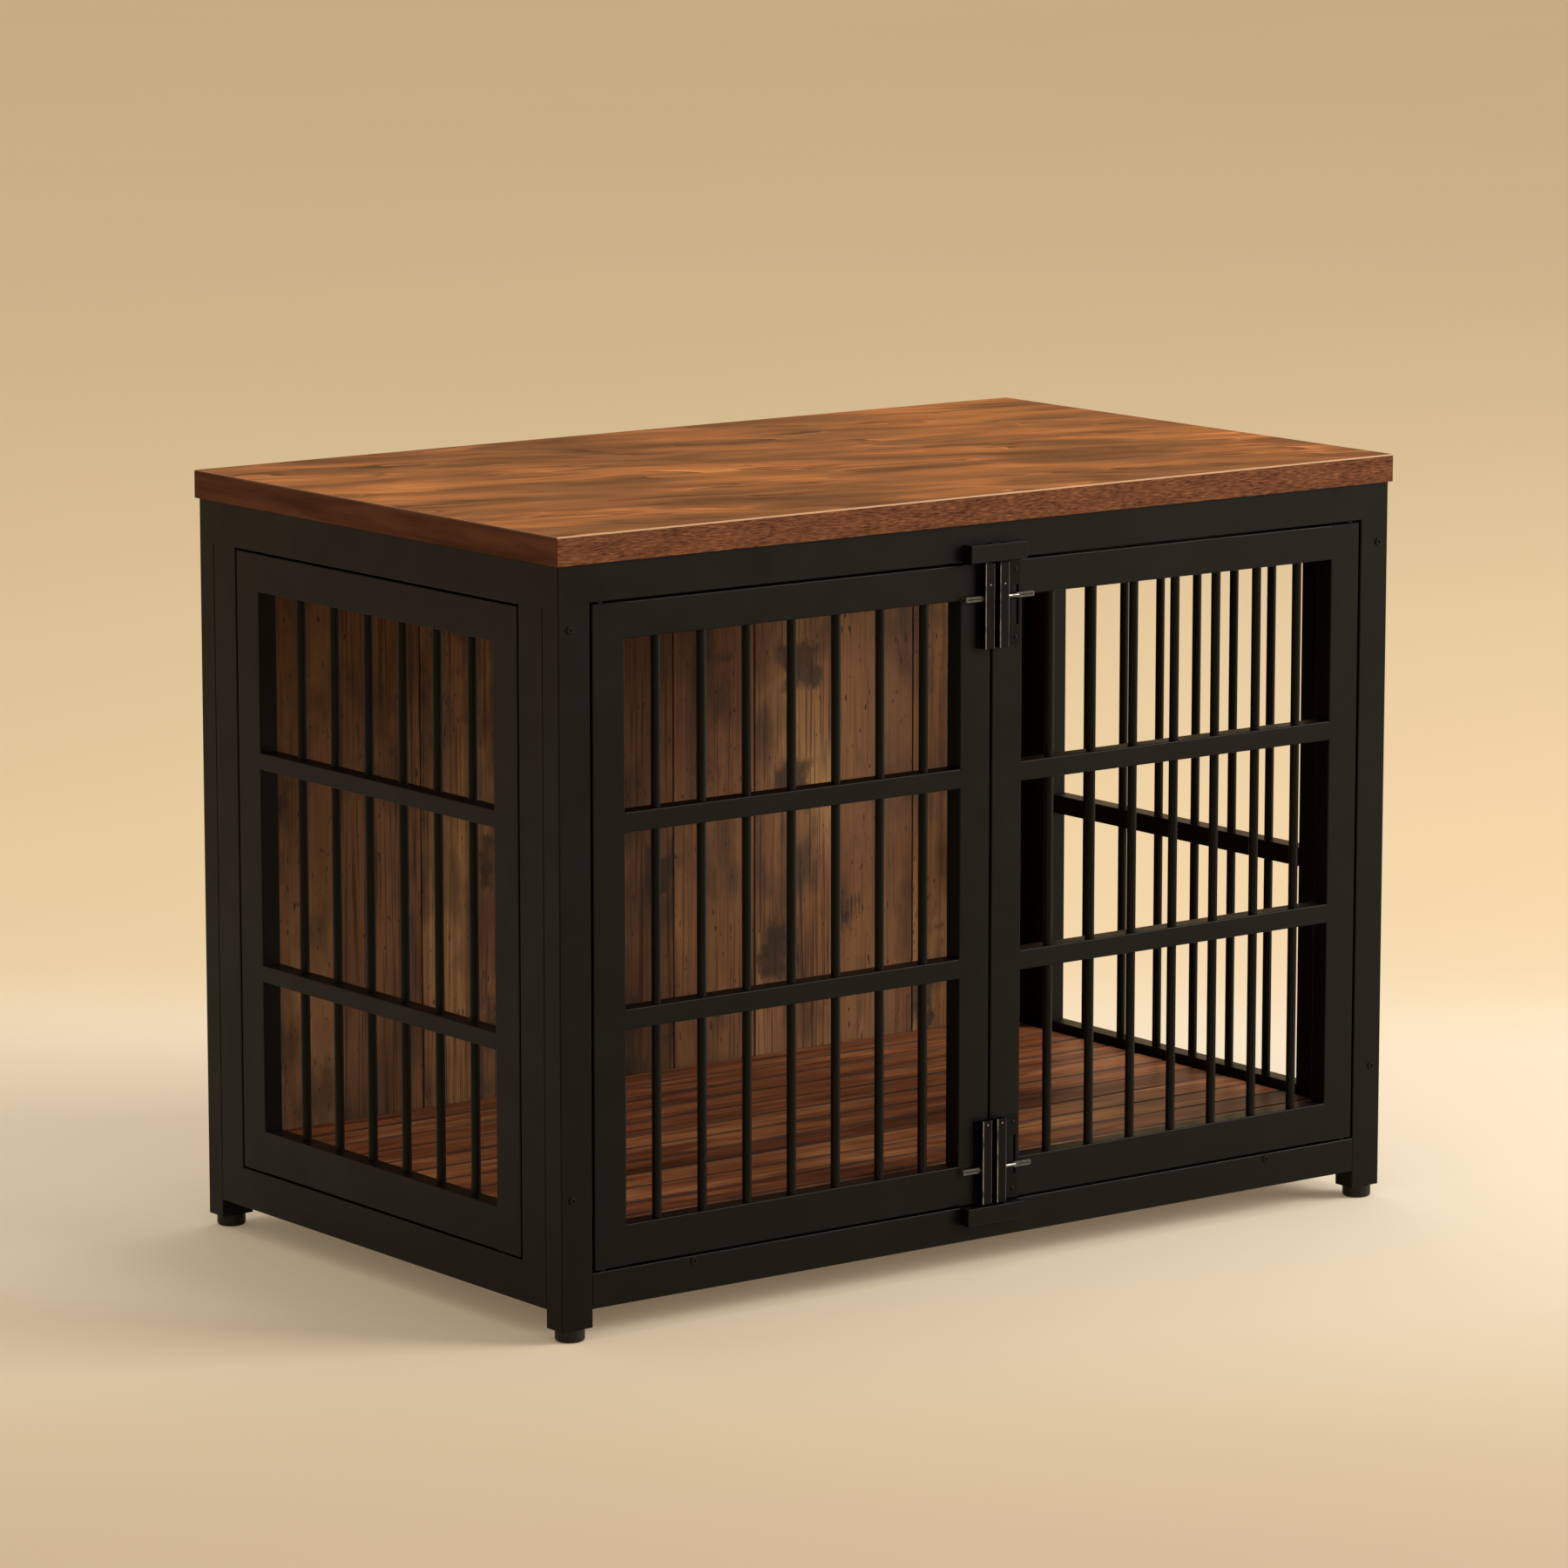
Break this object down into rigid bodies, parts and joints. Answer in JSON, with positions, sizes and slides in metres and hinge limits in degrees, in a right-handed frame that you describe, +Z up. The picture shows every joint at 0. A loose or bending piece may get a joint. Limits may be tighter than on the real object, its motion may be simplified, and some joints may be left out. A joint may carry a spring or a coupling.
{
  "type": "dog crate end table",
  "caption": "Dog crate that doubles as an end table: black steel tube frame, wooden top, planked back, slatted floor, barred side panels and barred doors with slide bolts.",
  "frame": {"origin": "on the ground, under the middle of the frame", "axes": "+X along the front to the right as seen from the front, +Y from the front to the back, +Z up"},
  "size_m": [1.007, 0.6155, 0.747],
  "materials": {
    "back_plank_wood": "rustic, dark knots, vertical grain",
    "bar_steel": "powder coated, matt",
    "bearer_wood": "planed, unfinished",
    "bracket_steel": "powder coated, matt",
    "door_steel": "powder coated, matt",
    "floor_wood": "sealed slats, dark joints",
    "foot_plastic": "moulded, matt",
    "frame_steel": "powder coated, matt",
    "latch_steel": "powder coated, satin, worn at the handles",
    "panel_steel": "powder coated, matt",
    "pin_steel": "plain",
    "plug_plastic": "moulded, matt",
    "screw_steel": "black zinc",
    "table_top_wood": "sealed, wavy figure, eased edges"
  },
  "bodies": {
    "frame": {"back_bottom_rail": "frame_steel", "back_planks": "back_plank_wood", "back_top_rail": "frame_steel", "feet": "foot_plastic", "floor_bearers": "bearer_wood", "floor_strips": "floor_wood", "frame_screws": "screw_steel", "front_bottom_rail": "frame_steel", "front_top_rail": "frame_steel", "hinge_pins": "pin_steel", "latch_keepers": "latch_steel", "left_bottom_rail": "frame_steel", "left_panel_back_stile": "panel_steel", "left_panel_bars": "bar_steel", "left_panel_bottom_rail": "panel_steel", "left_panel_front_stile": "panel_steel", "left_panel_lower_cross_rail": "panel_steel", "left_panel_top_rail": "panel_steel", "left_panel_upper_cross_rail": "panel_steel", "left_side_stile_back": "frame_steel", "left_side_stile_front": "frame_steel", "left_top_rail": "frame_steel", "post_back_left": "frame_steel", "post_back_right": "frame_steel", "post_front_left": "frame_steel", "post_front_right": "frame_steel", "right_bottom_rail": "frame_steel", "right_panel_back_stile": "panel_steel", "right_panel_bars": "bar_steel", "right_panel_bottom_rail": "panel_steel", "right_panel_cross_rail": "panel_steel", "right_panel_front_stile": "panel_steel", "right_panel_top_rail": "panel_steel", "right_side_stile_back": "frame_steel", "right_side_stile_front": "frame_steel", "right_top_rail": "frame_steel", "table_top": "table_top_wood", "top_brackets": "bracket_steel"},
    "left_bottom_bolt": {"left_bottom_bolt": "latch_steel"},
    "left_door": {"left_door_bars": "bar_steel", "left_door_bottom_rail": "door_steel", "left_door_end_plugs": "plug_plastic", "left_door_hinge_stile": "door_steel", "left_door_lower_cross_rail": "door_steel", "left_door_meeting_stile": "door_steel", "left_door_top_rail": "door_steel", "left_door_upper_cross_rail": "door_steel", "left_latch_guides": "latch_steel"},
    "left_top_bolt": {"left_top_bolt": "latch_steel"},
    "right_bottom_bolt": {"right_bottom_bolt": "latch_steel"},
    "right_door": {"right_door_bars": "bar_steel", "right_door_bottom_rail": "door_steel", "right_door_end_plugs": "plug_plastic", "right_door_hinge_stile": "door_steel", "right_door_lower_cross_rail": "door_steel", "right_door_meeting_stile": "door_steel", "right_door_top_rail": "door_steel", "right_door_upper_cross_rail": "door_steel", "right_latch_guides": "latch_steel"},
    "right_top_bolt": {"right_top_bolt": "latch_steel"}
  },
  "joints": [
    {"name": "left_door_hinge", "type": "hinge", "parent": "frame", "child": "left_door", "pos_m": [-0.45254, -0.294, 0.3735], "axis": [0, 0, -1], "range_deg": [0, 120]},
    {"name": "right_door_hinge", "type": "hinge", "parent": "frame", "child": "right_door", "pos_m": [0.45254, -0.294, 0.3735], "axis": [0, 0, 1], "range_deg": [0, 120]},
    {"name": "left_top_bolt_slide", "type": "slide", "parent": "left_door", "child": "left_top_bolt", "axis": [0, 0, 1], "range_m": [-0.026, 0.007]},
    {"name": "left_bottom_bolt_slide", "type": "slide", "parent": "left_door", "child": "left_bottom_bolt", "axis": [0, 0, -1], "range_m": [-0.026, 0.007]},
    {"name": "right_top_bolt_slide", "type": "slide", "parent": "right_door", "child": "right_top_bolt", "axis": [0, 0, 1], "range_m": [-0.026, 0.007]},
    {"name": "right_bottom_bolt_slide", "type": "slide", "parent": "right_door", "child": "right_bottom_bolt", "axis": [0, 0, -1], "range_m": [-0.026, 0.007]}
  ]
}
